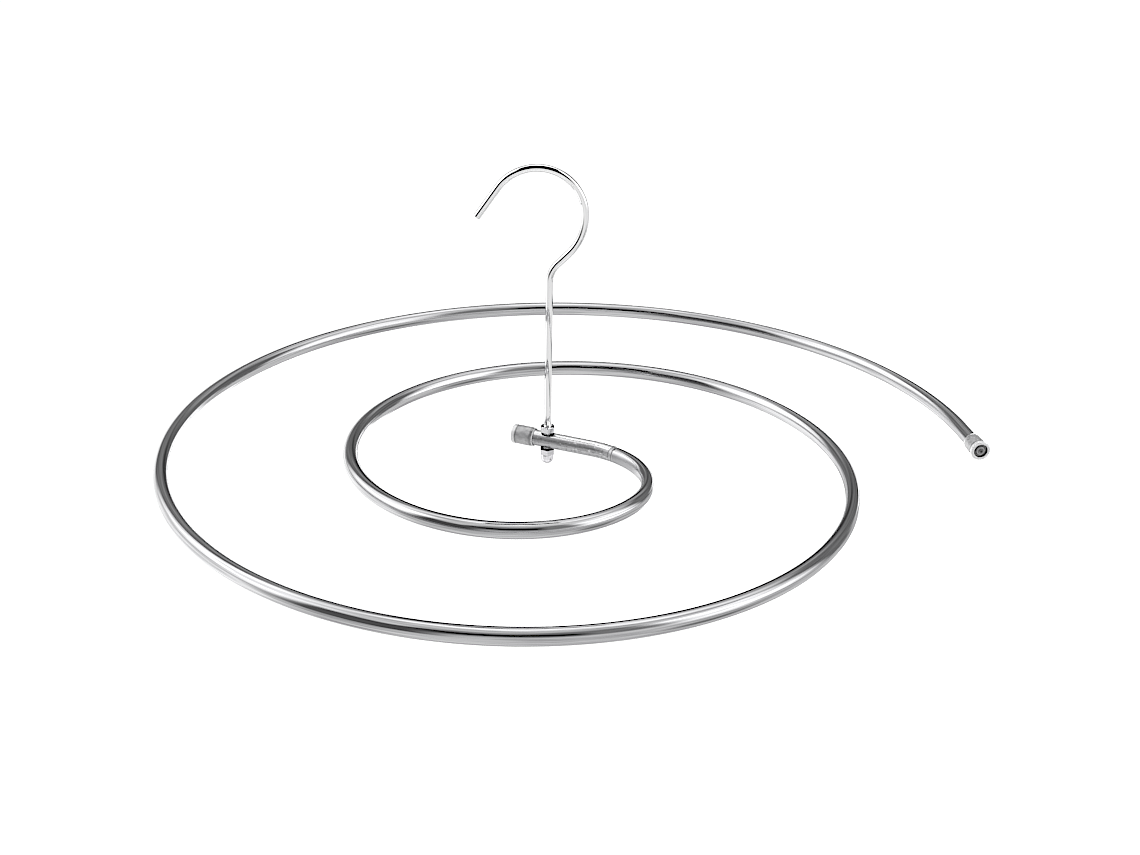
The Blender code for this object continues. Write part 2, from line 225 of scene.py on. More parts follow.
class Route:
    """A flat line of straight runs and bends: stations of x, y, heading and the run so far."""

    def __init__(self, heading, run_before=0.0):
        """The line starts the given run before the origin, and heads for it."""
        start = (-run_before * math.cos(heading), -run_before * math.sin(heading))
        self.points = [(*start, heading, 0.0)]

    def step(self, length, turn):
        x, y, heading, run = self.points[-1]
        middle = heading + turn / 2
        place = (x + length * math.cos(middle), y + length * math.sin(middle))
        self.points.append((*place, heading + turn, run + length))

    def straight(self, length, steps=1):
        for _ in range(steps):
            self.step(length / steps, 0.0)

    def bend(self, first_radius, last_radius, angle, finest):
        steps = max(1, round(abs(angle) / finest))
        turn = angle / steps
        for number in range(steps):
            share = (number + 0.5) / steps
            radius = first_radius + (last_radius - first_radius) * share
            self.step(2 * radius * math.sin(abs(turn) / 2), turn)

    def at(self, run):
        """The station at a run along the line."""
        for start, end in zip(self.points, self.points[1:]):
            if run <= end[3]:
                break
        share = (run - start[3]) / (end[3] - start[3])
        return tuple(low + (high - low) * share for low, high in zip(start, end))

    def stretch(self, first, last):
        """The stations of the line from one run along it to another."""
        inside = [point for point in self.points if first + TUBE_EDGE < point[3] < last - TUBE_EDGE]
        return [self.at(first)] + inside + [self.at(last)]

    def skin_at(self, place):
        """The skin coordinate of a place near the line: how far aside, its height, and the run."""
        distances = [math.hypot(place.x - point[0], place.y - point[1]) for point in self.points]
        x, y, heading, run = self.points[distances.index(min(distances))]
        ahead = (place.x - x) * math.cos(heading) + (place.y - y) * math.sin(heading)
        aside = (place.x - x) * math.sin(heading) - (place.y - y) * math.cos(heading)
        return (aside, place.z, run + ahead)


def smooth_step(value):
    value = min(1.0, max(0.0, value))
    return value * value * (3 - 2 * value)


def surface(name, rings, closed=False, fans=()):
    """A mesh from rings of points, joined in turn; a fan is a pole point at an end."""
    count = len(rings[0])
    points = [point for ring in rings for point in ring]
    faces = []
    pairs = len(rings) if closed else len(rings) - 1
    for number in range(pairs):
        low = number * count
        high = (number + 1) % len(rings) * count
        for side in range(count):
            after = (side + 1) % count
            faces.append((low + side, low + after, high + after, high + side))
    for ring_number, pole in fans:
        start = (ring_number % len(rings)) * count
        points.append(pole)
        for side in range(count):
            after = (side + 1) % count
            edge = (start + after, start + side) if ring_number == 0 else (start + side, start + after)
            faces.append((*edge, len(points) - 1))
    mesh = bpy.data.meshes.new(name)
    mesh.from_pydata([tuple(point) for point in points], [], faces)
    mesh.validate()
    mesh.shade_smooth()
    return mesh


def store_skin(mesh, values):
    """Keep a surface coordinate for the materials: round the section, then along it."""
    skin = mesh.attributes.new("skin", "FLOAT_VECTOR", "POINT")
    flat = [number for value in values for number in value]
    skin.data.foreach_set("vector", flat)


def add_piece(name, mesh, material, place=None):
    piece = bpy.data.objects.new(name, mesh)
    bpy.context.scene.collection.objects.link(piece)
    piece.matrix_world = place or Matrix()
    mesh.materials.append(material)
    return piece


def finish_piece(piece, body, node):
    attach(piece, body)
    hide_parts(node)


def bake(piece):
    """Apply a piece's modifiers to its mesh."""
    depsgraph = bpy.context.evaluated_depsgraph_get()
    depsgraph.update()
    mesh = bpy.data.meshes.new_from_object(piece.evaluated_get(depsgraph))
    piece.modifiers.clear()
    piece.data = mesh


def sharpen(piece, angle):
    piece.data.set_sharp_from_angle(angle=angle)


# Materials


class Nodes:
    """Short ways to add nodes to a tree; a value is a number or another node's output."""

    def __init__(self, tree):
        self.tree = tree

    def add(self, kind, **settings):
        node = self.tree.nodes.new(kind)
        for name, value in settings.items():
            setattr(node, name, value)
        return node

    def link(self, source, target):
        self.tree.links.new(source, target)

    def math(self, operation, *values):
        node = self.add("ShaderNodeMath", operation=operation)
        for socket, value in zip(node.inputs, values):
            if isinstance(value, float):
                socket.default_value = value
            else:
                self.link(value, socket)
        return node.outputs["Value"]

    def parts(self, vector):
        """The X, Y and Z of a vector."""
        split = self.add("ShaderNodeSeparateXYZ")
        self.link(vector, split.inputs["Vector"])
        return split.outputs["X"], split.outputs["Y"], split.outputs["Z"]

    def spread(self, source, low, high, out_low, out_high):
        """Map a range of the source smoothly to another range."""
        spread = self.add("ShaderNodeMapRange", interpolation_type="SMOOTHSTEP")
        spread.inputs["From Min"].default_value = low
        spread.inputs["From Max"].default_value = high
        spread.inputs["To Min"].default_value = out_low
        spread.inputs["To Max"].default_value = out_high
        self.link(source, spread.inputs["Value"])
        return spread.outputs["Result"]

    def mask(self, source, none, full):
        """Zero where the source has one value, one where it has the other, and smooth between."""
        return self.spread(source, none, full, 0.0, 1.0)

    def fade(self, source, full, none):
        """One where the source has one value, zero where it has the other, and smooth between."""
        return self.spread(source, full, none, 1.0, 0.0)


class Shader(Nodes):
    """A material with one Principled shader."""

    def __init__(self, name, colour, metallic, roughness):
        self.material = bpy.data.materials.new(name)
        self.material.use_nodes = True
        super().__init__(self.material.node_tree)
        self.principled = self.tree.nodes["Principled BSDF"]
        self.set_value("Base Color", (*colour, 1.0))
        self.set_value("Metallic", metallic)
        self.set_value("Roughness", roughness)
        self.height = None
        self.shade = None
        self.gloss = None

    def set_value(self, name, value):
        """Set a value that is the same all over."""
        self.principled.inputs[name].default_value = value

    def mapped(self, vector, scale):
        mapping = self.add("ShaderNodeMapping")
        mapping.inputs["Scale"].default_value = scale
        self.link(vector, mapping.inputs["Vector"])
        return mapping.outputs["Vector"]

    def skin(self, stretch):
        """The skin coordinate, its run along the piece shortened so that noise turns to streaks."""
        attribute = self.add("ShaderNodeAttribute", attribute_name="skin")
        return self.mapped(attribute.outputs["Vector"], (1.0, 1.0, 1.0 / stretch))

    def place(self, scale=(1.0, 1.0, 1.0)):
        """A place in the piece's own coordinates, in metres where it isn't scaled."""
        coordinates = self.add("ShaderNodeTexCoord")
        return self.mapped(coordinates.outputs["Object"], scale)

    def noise(self, vector, size, detail=3.0, roughness=0.6):
        """Noise with features of about the given size in metres."""
        noise = self.add("ShaderNodeTexNoise")
        noise.inputs["Scale"].default_value = 1.0 / size
        noise.inputs["Detail"].default_value = detail
        noise.inputs["Roughness"].default_value = roughness
        self.link(vector, noise.inputs["Vector"])
        return noise.outputs["Fac"]

    def mix_colours(self, factor, first, second):
        """Blend two colours, each a triple or another node's output."""
        mix = self.add("ShaderNodeMix", data_type="RGBA")
        for socket, value in zip((mix.inputs["A"], mix.inputs["B"]), (first, second)):
            if isinstance(value, tuple):
                socket.default_value = (*value, 1.0)
            else:
                self.link(value, socket)
        self.link(factor, mix.inputs["Factor"])
        return mix.outputs["Result"]

    def colour(self, source):
        self.shade = source
        self.link(source, self.principled.inputs["Base Color"])

    def tone(self, factor, colour):
        """Lay another colour over the present one where the factor is high."""
        self.colour(self.mix_colours(factor, self.shade, colour))

    def roughness(self, source):
        self.gloss = source
        self.link(source, self.principled.inputs["Roughness"])

    def bump(self, source, distance):
        bump = self.add("ShaderNodeBump")
        bump.inputs["Strength"].default_value = 1.0
        bump.inputs["Distance"].default_value = distance
        self.link(source, bump.inputs["Height"])
        if self.height is not None:
            self.link(self.height, bump.inputs["Normal"])
        self.height = bump.outputs["Normal"]
        self.link(self.height, self.principled.inputs["Normal"])


def drawn_steel(name, dark, bright, roughness, wave_height, tint=1.0):
    """Drawn stock: fine and broad lines along it and a slightly wavy skin.

    The roughness is one value, or the smoothest and the roughest of its lines with soft smudges.
    """
    smudged = isinstance(roughness, tuple)
    shader = Shader(name, bright, 1.0, roughness[0] if smudged else roughness)
    shader.set_value("Specular Tint", (tint, tint, tint, 1.0))
    fine = shader.noise(shader.skin(stretch=90.0), size=0.5 * MM, roughness=0.7)
    broad = shader.noise(shader.skin(stretch=45.0), size=1.9 * MM, detail=2.0)
    waves = shader.noise(shader.skin(stretch=9.0), size=2.4 * MM)
    streak = shader.math("ADD", shader.math("MULTIPLY", fine, 0.5), shader.math("MULTIPLY", broad, 0.5))
    shader.colour(shader.mix_colours(shader.mask(streak, 0.36, 0.62), dark, bright))
    if smudged:
        smoothest, roughest = roughness
        smudge = shader.noise(shader.skin(stretch=3.0), size=12.0 * MM, detail=4.0)
        lines = shader.spread(streak, 0.35, 0.65, roughest, smoothest)
        haze = shader.spread(smudge, 0.45, 0.75, 1.0, 1.6)
        shader.roughness(shader.math("MULTIPLY", lines, haze))
    shader.bump(fine, 0.004 * MM)
    shader.bump(waves, wave_height)
    return shader


def spiral_steel():
    """Polished, but rougher underneath for a short way from the seam, with painted shade there: a darker grey
    underside.
    """
    dark = (0.38, 0.38, 0.39)
    bright = (0.63, 0.63, 0.64)
    underside_painted_shade = (0.36, 0.36, 0.37)
    dull_roughness = 0.26
    dull_until = SEAM_RUN + 20.0 * MM
    bright_from = SEAM_RUN + 36.0 * MM
    shader = drawn_steel("drawn_steel", dark, bright, (0.06, 0.11), TUBE_WAVES)
    _, height, run = shader.parts(shader.skin(stretch=1.0))
    near_seam = shader.fade(run, dull_until, bright_from)
    under = shader.fade(height, TUBE_RADIUS * 0.50, TUBE_RADIUS * 0.75)
    dull_and_shaded = shader.math("MULTIPLY", near_seam, under)
    # painted shade: near the seam the underside is coloured a darker grey, as well as made rougher
    shader.tone(dull_and_shaded, underside_painted_shade)
    added = shader.math("MULTIPLY", dull_and_shaded, dull_roughness)
    shader.roughness(shader.math("ADD", added, shader.gloss))
    return shader.material


def hub_steel():
    """The hub's tube is dull and mottled, with small pits and bright specks, and smoother along its top,
    where a painted highlight lies.
    """
    dark = (0.34, 0.34, 0.35)
    bright = (0.56, 0.56, 0.57)
    speck = (0.85, 0.85, 0.86)
    spot = (0.30, 0.30, 0.31)
    top_painted_highlight = (0.86, 0.86, 0.87)
    dull_roughness = 0.40
    burnished_roughness = 0.20
    shader = drawn_steel("dull_steel", dark, bright, dull_roughness, TUBE_WAVES)
    pits = shader.noise(shader.skin(stretch=1.6), size=0.9 * MM)
    shader.bump(shader.mask(pits, 0.42, 0.70), 0.018 * MM)
    mottle = shader.noise(shader.skin(stretch=1.7), size=1.1 * MM, detail=1.0)
    shader.tone(shader.mask(mottle, 0.62, 0.76), speck)
    shader.tone(shader.mask(mottle, 0.42, 0.30), spot)
    ragged = shader.noise(shader.skin(stretch=6.0), size=1.5 * MM, detail=2.0)
    _, level, _ = shader.parts(shader.skin(stretch=1.0))
    height = shader.math("ADD", level, shader.math("MULTIPLY", ragged, 0.8 * MM))
    top = shader.mask(height, TUBE_RADIUS * 0.76, TUBE_RADIUS * 0.86)
    # painted highlight: a pale ragged band along the tube's top, which is also smoother
    shader.tone(top, top_painted_highlight)
    shader.roughness(shader.spread(top, 0.0, 1.0, dull_roughness, burnished_roughness))
    return shader.material


def wire_steel():
    dark = (0.90, 0.90, 0.91)
    bright = (0.98, 0.98, 0.98)
    return drawn_steel("bright_wire", dark, bright, (0.03, 0.06), WIRE_WAVES, tint=0.35).material


def turned_steel(name, colour, roughness, shade_free_height=0.0, shade_full_height=0.0, tint=1.0):
    """Turned or pressed hardware: faint rings and mottled plating, with painted shade near its seat if asked.

    The painted shade, near black, grows from one height on the piece to another, in its own coordinates.
    """
    worn = tuple(part * 0.90 for part in colour)
    seat_painted_shade = (0.012, 0.012, 0.013)
    shader = Shader(name, colour, 1.0, roughness)
    shader.set_value("Specular Tint", (tint, tint, tint, 1.0))
    rings = shader.noise(shader.place((0.05, 0.05, 1.0)), size=0.12 * MM)
    mottle = shader.noise(shader.place(), size=1.4 * MM, detail=4.0)
    shader.colour(shader.mix_colours(shader.mask(mottle, 0.35, 0.65), worn, colour))
    shader.roughness(shader.spread(mottle, 0.35, 0.70, roughness * 0.75, roughness * 1.5))
    shader.bump(rings, 0.002 * MM)
    shader.bump(shader.noise(shader.place(), size=0.9 * MM, detail=2.0), 0.0015 * MM)
    if shade_free_height != shade_full_height:
        _, _, height = shader.parts(shader.place())
        # painted shade: near black over the band where the piece meets the tube
        shader.tone(shader.mask(height, shade_free_height, shade_full_height), seat_painted_shade)
    return shader.material


def plug_steel():
    return turned_steel("plug_steel", (0.48, 0.48, 0.49), roughness=0.3)


def nut_steel():
    grey = (0.86, 0.86, 0.88)
    # painted shade at the nut's foot, where it sits on the tube
    return turned_steel("nut_steel", grey, roughness=0.06, shade_free_height=0.6 * MM, shade_full_height=0.4 * MM, tint=0.6)


def cap_nut_steel():
    grey = (0.93, 0.92, 0.95)
    # painted shade over the top of the hexagon, under the tube
    return turned_steel("cap_nut_steel", grey, roughness=0.09, shade_free_height=3.3 * MM, shade_full_height=3.55 * MM, tint=0.35)


def cap_plastic():
    """Translucent grey plastic: darker where steel lies behind it, light at its solid end and lip, with
    painted shade in its end face's recess and over its boss, and painted shadow bands along its side.
    """
    over_steel_dark = (0.32, 0.32, 0.325)
    over_steel_light = (0.50, 0.50, 0.51)
    shadow = (0.24, 0.24, 0.245)
    light = (0.80, 0.80, 0.81)
    recess_painted_shade = (0.03, 0.03, 0.032)
    centre_dark = (0.015, 0.015, 0.016)
    centre_light = (0.06, 0.06, 0.062)
    shader = Shader("cap_plastic", over_steel_light, 0.0, 0.26)
    grain = shader.noise(shader.place(), size=0.25 * MM, detail=4.0)
    cloud = shader.mask(shader.noise(shader.place(), size=2.6 * MM, detail=4.0), 0.30, 0.70)
    x, y, height = shader.parts(shader.place())
    square = shader.math("ADD", shader.math("MULTIPLY", x, x), shader.math("MULTIPLY", y, y))
    reach = shader.math("SQRT", square)

    # Down the side, by the height below the end face
    solid_end = shader.mask(height, -2.7 * MM, -2.1 * MM)
    lip = shader.mask(height, 0.9 * MM - CAP_LENGTH, 0.2 * MM - CAP_LENGTH)
    band_near_lip = shader.mask(height, 2.6 * MM - CAP_LENGTH, 1.9 * MM - CAP_LENGTH)
    gap = shader.mask(height, -3.7 * MM, -3.2 * MM)
    over_steel = shader.mix_colours(cloud, over_steel_dark, over_steel_light)
    # painted shadow: dark bands near the lip and at the tube's end, inside the cap
    shaded = shader.mix_colours(shader.math("MAXIMUM", band_near_lip, gap), over_steel, shadow)
    body = shader.mix_colours(shader.math("MAXIMUM", solid_end, lip), shaded, light)

    # On the end face, by the distance from its centre
    sunk = shader.fade(height, -0.5 * MM, -0.3 * MM)
    inside = shader.fade(reach, CAP_RECESS, CAP_RECESS + 0.12 * MM)
    # painted shade: the recess in the end face is coloured near black
    shader.colour(shader.mix_colours(shader.math("MULTIPLY", sunk, inside), body, recess_painted_shade))
    # painted shade over the boss, in the shadow colour
    shader.tone(shader.mask(reach, CAP_BOSS + 0.6 * MM, CAP_BOSS + 0.3 * MM), shadow)
    centre = shader.mix_colours(cloud, centre_dark, centre_light)
    shader.tone(shader.mask(reach, CAP_BOSS * 0.70, CAP_BOSS * 0.58), centre)

    shader.roughness(shader.spread(grain, 0.3, 0.7, 0.12, 0.24))
    shader.set_value("Subsurface Weight", 0.15)
    shader.set_value("Subsurface Radius", (1.0, 1.0, 1.0))
    shader.set_value("Subsurface Scale", 0.6 * MM)
    shader.set_value("IOR", 1.5)
    shader.set_value("Coat Weight", 1.0)
    shader.set_value("Coat IOR", 1.9)
    shader.set_value("Coat Roughness", 0.08)
    shader.bump(grain, 0.006 * MM)
    return shader.material


# Pieces


def section(centre, across, upright, radius, sides, flatness=0.0):
    """One ring of a swept bar; a radius may be a function of the angle."""
    ring = []
    wide = 1 - flatness
    high = 1 + flatness / 2
    for number in range(sides):
        angle = 2 * math.pi * number / sides
        reach = radius(angle) if callable(radius) else radius
        aside = across * (reach * wide * math.cos(angle))
        ring.append(centre + aside + upright * (reach * high * math.sin(angle)))
    return ring


def skin_values(distances, sides, radius):
    """The skin coordinates of rings at the given distances along a bar."""
    values = []
    for distance in distances:
        for number in range(sides):
            angle = 2 * math.pi * number / sides
            values.append((radius * math.cos(angle), radius * math.sin(angle), distance))
    return values


def flatness_at(run):
    """How far the tight bend has flattened the tube, at a run from its free end."""
    grow_from, grow_to, fade_from, fade_to = (HUB_FREE_RUN + place for place in FLAT_RUNS)
    grown = smooth_step((run - grow_from) / (grow_to - grow_from))
    faded = smooth_step((run - fade_from) / (fade_to - fade_from))
    return FLAT_SHARE * grown * (1 - faded)


def level_section(station, radius):
    x, y, heading, run = station
    across = Vector((math.sin(heading), -math.cos(heading), 0.0))
    return section(Vector((x, y, 0.0)), across, UP, radius, TUBE_SIDES, flatness_at(run))


def shifted(station, distance):
    x, y, heading, run = station
    return (x + distance * math.cos(heading), y + distance * math.sin(heading), heading, run)


def tube_mesh(name, stations):
    """A thin-walled tube along stations, open at both ends, with its edges just broken."""
    first = stations[0]
    last = stations[-1]
    outer = [shifted(first, TUBE_EDGE)] + stations[1:-1] + [shifted(last, -TUBE_EDGE)]
    rings = [level_section(first, TUBE_RADIUS - TUBE_EDGE)]
    rings += [level_section(station, TUBE_RADIUS) for station in outer]
    rings.append(level_section(last, TUBE_RADIUS - TUBE_EDGE))
    rings += [level_section(station, TUBE_RADIUS - TUBE_WALL) for station in stations[::-1]]
    mesh = surface(name, rings, closed=True)
    runs = [station[3] for station in [first] + outer + [last] + stations[::-1]]
    store_skin(mesh, skin_values(runs, TUBE_SIDES, TUBE_RADIUS))
    return mesh


def tube_route():
    """The tube's axis from its free end, through the hub at the origin and round the spiral."""
    route = Route(HUB_HEADING, HUB_FREE_RUN)
    route.straight(HUB_FREE_RUN + HUB_STRAIGHT, HUB_STEPS)
    radii = [SPIRAL_RADIUS * share for share in SPIRAL_RADIUS_SHARES]
    for first_radius, last_radius, turn in zip(radii, radii[1:], SPIRAL_BENDS):
        route.bend(first_radius, last_radius, -turn, BEND_STEP)
    route.straight(SPIRAL_END_RUN, SPIRAL_END_STEPS)
    return route


def make_spiral_tube(route, material):
    stations = route.stretch(SEAM_RUN + SEAM_HALF, route.points[-1][3])
    mesh = tube_mesh("spiral_tube_skin", stations)
    piece = add_piece("spiral_tube_skin", mesh, material, Matrix.Translation(HUB))
    finish_piece(piece, "spiral", "spiral_tube")


def make_hub_tube(route, material):
    mesh = tube_mesh("hub_tube_skin", route.stretch(0.0, SEAM_RUN - SEAM_HALF))
    piece = add_piece("hub_tube_skin", mesh, material, Matrix.Translation(HUB))
    bpy.ops.mesh.primitive_cylinder_add(
        vertices=TURNED_SIDES, radius=THREAD_RADIUS + FIT_GAP, depth=THREAD_HOLE_LENGTH, location=HUB
    )
    cutter = bpy.context.object
    hole = piece.modifiers.new("thread_hole", "BOOLEAN")
    hole.operation = "DIFFERENCE"
    hole.solver = "EXACT"
    hole.object = cutter
    bake(piece)
    bpy.data.objects.remove(cutter)
    piece.data.attributes.remove(piece.data.attributes["skin"])
    store_skin(piece.data, [route.skin_at(vertex.co) for vertex in piece.data.vertices])
    sharpen(piece, TUBE_SHARP)
    finish_piece(piece, "spiral", "hub_tube")


def hook_route():
    route = Route(math.pi / 2)
    route.straight(THREAD_TOP + THREAD_RUNOUT)
    start = len(route.points) - 1
    route.straight(STEM_HEIGHT - THREAD_TOP - THREAD_RUNOUT, STEM_STEPS)
    route.bend(NECK_RADIUS, NECK_RADIUS, -NECK_ANGLE, WIRE_STEP)
    route.straight(NECK_STRAIGHT, NECK_STEPS)
    route.bend(BOW_RADIUS, BOW_RADIUS, NECK_ANGLE, WIRE_STEP)
    route.bend(CROWN_RADIUS, CROWN_RADIUS, CROWN_ANGLE, WIRE_STEP)
    route.straight(TIP_LENGTH - TIP_CHAMFER, TIP_STEPS)
    return route.points[start:]


def thread_reach(height):
    """The thread's radius round the wire at one height: a right-hand V thread with faded ends."""
    fade_in = smooth_step((height + THREAD_END) / THREAD_PITCH)
    fade_out = smooth_step((THREAD_TOP - height) / THREAD_PITCH)

    def reach(angle):
        turn = (height / THREAD_PITCH - angle / (2 * math.pi)) % 1.0
        groove = smooth_step(1 - abs(2 * turn - 1))
        return THREAD_RADIUS - THREAD_DEPTH * groove * fade_in * fade_out

    return reach


def make_hook_wire(material):
    side = Vector((0.0, 1.0, 0.0))
    forward = Vector((1.0, 0.0, 0.0))
    foot = Vector((0.0, 0.0, -THREAD_END))
    stations = [(foot, forward, THREAD_RADIUS - THREAD_DEPTH, 0.0)]
    low = THREAD_DEPTH - THREAD_END
    count = round((THREAD_TOP - low) / (THREAD_PITCH * THREAD_STEP_SHARE))
    for number in range(count + 1):
        height = low + (THREAD_TOP - low) * number / count
        centre = Vector((0.0, 0.0, height))
        stations.append((centre, forward, thread_reach(height), height + THREAD_END))
    for x, y, heading, run in hook_route():
        across = Vector((math.sin(heading), 0.0, -math.cos(heading)))
        stations.append((Vector((x, 0.0, y)), across, WIRE_RADIUS, run + THREAD_END))
    tip = stations[-1][0] + Vector((math.cos(heading), 0.0, math.sin(heading))) * TIP_CHAMFER
    stations.append((tip, across, WIRE_RADIUS - TIP_CHAMFER, run + THREAD_END))
    rings = [section(centre, ahead, side, reach, WIRE_SIDES) for centre, ahead, reach, _ in stations]
    mesh = surface("hook_wire_skin", rings, fans=((0, foot), (len(rings) - 1, tip)))
    runs = [station[3] for station in stations]
    values = skin_values(runs, WIRE_SIDES, WIRE_RADIUS)
    store_skin(mesh, values + [(0.0, 0.0, runs[0]), (0.0, 0.0, runs[-1])])
    piece = add_piece("hook_wire_skin", mesh, material, Matrix.Translation(HUB))
    sharpen(piece, TUBE_SHARP)
    finish_piece(piece, "hook", "hook_wire")


def hexagon_reach(angle):
    """The distance from a nut's axis to its side at one angle, with rounded corners."""
    sector = math.pi / 3
    offset = abs((angle + sector / 2) % sector - sector / 2)
    core = (NUT_HALF_WIDTH - NUT_CORNER_ROUND) / math.cos(sector / 2)
    if math.tan(offset) * NUT_HALF_WIDTH <= core * math.sin(sector / 2):
        return NUT_HALF_WIDTH / math.cos(offset)
    away = sector / 2 - offset
    return core * math.cos(away) + math.sqrt(NUT_CORNER_ROUND**2 - (core * math.sin(away)) ** 2)


def nut_angles():
    """Angles round a hexagon, closer together towards its corners."""
    half = math.pi / 6
    angles = []
    for sector in range(6):
        middle = sector * 2 * half
        angles += [middle + half * share for share in NUT_ANGLE_SHARES]
        angles.append(middle + half)
        angles += [middle + 2 * half - half * share for share in NUT_ANGLE_SHARES[:0:-1]]
    return angles


def nut_ring(angles, reach, height):
    """A ring about a nut's axis; reach and height may be functions of the angle."""
    ring = []
    for angle in angles:
        radius = reach(angle) if callable(reach) else reach
        level = height(angle) if callable(height) else height
        ring.append(Vector((radius * math.cos(angle), radius * math.sin(angle), level)))
    return ring


def chamfer_drop(angle, inset=0.0):
    return max(0.0, hexagon_reach(angle) - inset - NUT_FACE_RADIUS) * math.tan(math.pi / 6)


def nut_top_rings(angles, low, high):
    """From inside the bore up over the top face and its chamfer, and down the six sides."""

    def broken_reach(angle):
        return hexagon_reach(angle) - NUT_EDGE

    sink = NUT_BORE + NUT_SINK
    rings = [nut_ring(angles, NUT_BORE, high - NUT_SINK), nut_ring(angles, sink, high)]
    rings.append(nut_ring(angles, NUT_FACE_RADIUS, high))
    rings.append(nut_ring(angles, broken_reach, lambda a: high - chamfer_drop(a, NUT_EDGE)))
    rings.append(nut_ring(angles, hexagon_reach, lambda a: high - chamfer_drop(a) - NUT_EDGE))
    rings.append(nut_ring(angles, hexagon_reach, lambda a: low + chamfer_drop(a) + NUT_EDGE))
    rings.append(nut_ring(angles, broken_reach, lambda a: low + chamfer_drop(a, NUT_EDGE)))
    rings.append(nut_ring(angles, NUT_FACE_RADIUS, low))
    return rings


def make_upper_nut(material):
    angles = nut_angles()
    rings = [nut_ring(angles, NUT_BORE, NUT_SINK)]
    rings += nut_top_rings(angles, 0.0, NUT_HEIGHT)
    rings.append(nut_ring(angles, NUT_BORE + NUT_SINK, 0.0))
    mesh = surface("upper_nut_skin", [ring[::-1] for ring in rings], closed=True)
    place = Matrix.Translation(HUB + UP * NUT_SEAT)
    piece = add_piece("upper_nut_skin", mesh, material, place)
    sharpen(piece, NUT_SHARP)
    finish_piece(piece, "hook", "upper_nut")


def make_cap_nut(material):
    """The hexagon from zero up to its height, with the dome below zero."""
    angles = nut_angles()
    bore_floor = NUT_HEIGHT - CAP_NUT_HEIGHT + CAP_NUT_CROWN
    dome_foot = NUT_HEIGHT - CAP_NUT_HEIGHT
    shoulder = dome_foot + DOME_RADIUS
    rings = [nut_ring(angles, NUT_BORE, bore_floor)]
    rings += nut_top_rings(angles, 0.0, NUT_HEIGHT)
    rings.append(nut_ring(angles, DOME_RADIUS - NUT_EDGE, -NUT_EDGE))
    rings.append(nut_ring(angles, DOME_RADIUS, -DOME_NECK))
    for number in range(DOME_STEPS):
        tilt = math.pi / 2 * number / DOME_STEPS
        rings.append(nut_ring(angles, DOME_RADIUS * math.cos(tilt), shoulder - DOME_RADIUS * math.sin(tilt)))
    floor = Vector((0.0, 0.0, bore_floor))
    pole = Vector((0.0, 0.0, dome_foot))
    mesh = surface("cap_nut_skin", [ring[::-1] for ring in rings], fans=((0, floor), (len(rings) - 1, pole)))
    place = Matrix.Translation(HUB - UP * (NUT_SEAT + NUT_HEIGHT))
    piece = add_piece("cap_nut_skin", mesh, material, place)
    sharpen(piece, NUT_SHARP)
    finish_piece(piece, "hook", "cap_nut")


def turned_mesh(name, outline):
    """A turned body from radius and height pairs, its first and last on the axis."""
    across = Vector((0.0, 1.0, 0.0))
    upright = Vector((1.0, 0.0, 0.0))
    rings = [section(UP * height, across, upright, radius, TURNED_SIDES) for radius, height in outline[1:-1]]
    first_pole = UP * outline[0][1]
    last_pole = UP * outline[-1][1]
    return surface(name, rings, fans=((0, first_pole), (len(rings) - 1, last_pole)))


def level_place(station, turned=False):
    """A station's place in the frame, and its way along the tube or back."""
    x, y, heading, _ = station
    way = Vector((math.cos(heading), math.sin(heading), 0.0))
    return HUB + Vector((x, y, 0.0)), -way if turned else way


def along(place, way):
    return Matrix.Translation(place) @ way.to_track_quat("Z", "Y").to_matrix().to_4x4()


def make_joint_plug(route, material):
    half = COLLAR_WIDTH / 2
    nose = half + NOSE_LENGTH
    spigot = half + SPIGOT_LENGTH
    outline = [(0.0, nose), (SPIGOT_RADIUS - COLLAR_EDGE, nose), (SPIGOT_RADIUS, nose - COLLAR_EDGE)]
    outline += [(SPIGOT_RADIUS, half), (TUBE_RADIUS - COLLAR_EDGE, half), (TUBE_RADIUS, half - COLLAR_EDGE)]
    outline += [(TUBE_RADIUS, COLLAR_EDGE - half), (TUBE_RADIUS - COLLAR_EDGE, -half), (SPIGOT_RADIUS, -half)]
    outline += [(SPIGOT_RADIUS, COLLAR_EDGE - spigot), (SPIGOT_RADIUS - COLLAR_EDGE, -spigot), (0.0, -spigot)]
    place = along(*level_place(route.at(SEAM_RUN)))
    piece = add_piece("joint_plug_skin", turned_mesh("joint_plug_skin", outline), material, place)
    sharpen(piece, PLUG_SHARP)
    finish_piece(piece, "spiral", "joint_plug")


